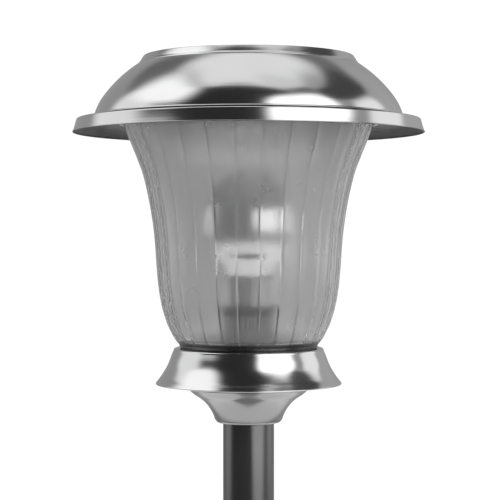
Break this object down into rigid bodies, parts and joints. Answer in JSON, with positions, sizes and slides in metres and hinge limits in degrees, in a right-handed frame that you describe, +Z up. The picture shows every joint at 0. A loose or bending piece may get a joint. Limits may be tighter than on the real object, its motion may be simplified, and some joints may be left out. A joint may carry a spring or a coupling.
{
  "type": "solar garden light",
  "caption": "Solar path light: fluted bell-shaped glass shade between a flared polished base and a domed steel cap with a round solar panel, on a tube pole with a ground stake.",
  "frame": {"origin": "on the pole's axis at ground level, where the stake's top meets the soil", "axes": "+Z up along the pole and the shade's axis, +X to the right and -Y to the front, where a crease of the glass flutes lies on each side of the middle flute"},
  "size_m": [0.1515, 0.1514, 0.5374],
  "materials": {
    "polished_steel": "polished spun stainless steel",
    "satin_metal": "satin silver grey",
    "dark_tube": "glossy charcoal",
    "ribbed_glass": "lightly frosted, fluted",
    "clear_glass": "clear",
    "silver_mirror": "silvered",
    "black_plastic": "moulded, fine grain",
    "grey_plastic": "moulded, fine grain",
    "seal_rubber": "soft black",
    "screw_steel": "zinc plated",
    "contact_metal": "nickel plated",
    "solar_cell": "dark blue cells with silver lines",
    "white_board": "white lacquered board",
    "green_board": "green solder mask",
    "part_black": "moulded components",
    "sensor_face": "ceramic with fine tracks",
    "battery_wrap": "shrink wrap with bare metal ends",
    "led_resin": "clear resin",
    "red_wire": "insulation",
    "black_wire": "insulation"
  },
  "bodies": {
    "stake": {"ground_stake": "black_plastic"},
    "lower_pole": {"lower_tube": "dark_tube", "tube_coupler": "black_plastic"},
    "upper_pole": {"upper_tube": "dark_tube"},
    "swivel": {"swivel_plug": "black_plastic"},
    "head": {"hub": "satin_metal", "base_ring": "polished_steel", "shade_seat": "black_plastic", "base_screws": "screw_steel", "bulb_socket": "black_plastic", "bulb_reflector": "silver_mirror", "shade_gasket": "seal_rubber", "shade": "ribbed_glass", "shade_collar": "grey_plastic"},
    "seal": {"cap_seal": "seal_rubber"},
    "cap": {"dome_cap": "polished_steel", "brim_ring": "polished_steel", "top_bezel": "polished_steel", "panel_frame": "black_plastic", "panel_seal": "seal_rubber", "panel_glass": "clear_glass", "panel_board": "white_board", "solar_cells": "solar_cell", "light_sensor": "sensor_face", "cap_tray": "grey_plastic", "tray_screws": "screw_steel", "battery": "battery_wrap", "battery_contact": "contact_metal", "battery_spring": "contact_metal", "circuit_board": "green_board", "board_screws": "screw_steel", "board_parts": "part_black", "led": "led_resin", "led_cone": "silver_mirror", "switch_body": "black_plastic", "panel_lead_red": "red_wire", "panel_lead_black": "black_wire", "battery_lead_red": "red_wire", "battery_lead_black": "black_wire"},
    "door": {"battery_door": "grey_plastic", "door_screw": "screw_steel"},
    "switch": {"switch_knob": "black_plastic"}
  },
  "joints": [
    {"name": "stake_pull", "type": "slide", "parent": "stake", "child": "lower_pole", "axis": [0, 0, 1], "range_m": [0, 0.05]},
    {"name": "pole_pull", "type": "slide", "parent": "lower_pole", "child": "upper_pole", "axis": [0, 0, 1], "range_m": [0, 0.035]},
    {"name": "head_pull", "type": "slide", "parent": "upper_pole", "child": "swivel", "axis": [0, 0, 1], "range_m": [0, 0.03]},
    {"name": "head_turn", "type": "hinge", "parent": "swivel", "child": "head", "pos_m": [0, 0, 0.2455], "axis": [0, 0, 1], "continuous": true},
    {"name": "cap_lift", "type": "slide", "parent": "head", "child": "seal", "axis": [0, 0, 1], "range_m": [0, 0.1]},
    {"name": "cap_turn", "type": "hinge", "parent": "seal", "child": "cap", "pos_m": [0, 0, 0.3586], "axis": [0, 0, 1], "continuous": true},
    {"name": "door_drop", "type": "slide", "parent": "cap", "child": "door", "axis": [0, 0, -1], "range_m": [0, 0.014]},
    {"name": "switch_slide", "type": "slide", "parent": "cap", "child": "switch", "axis": [1, 0, 0], "range_m": [0, 0.003]}
  ]
}
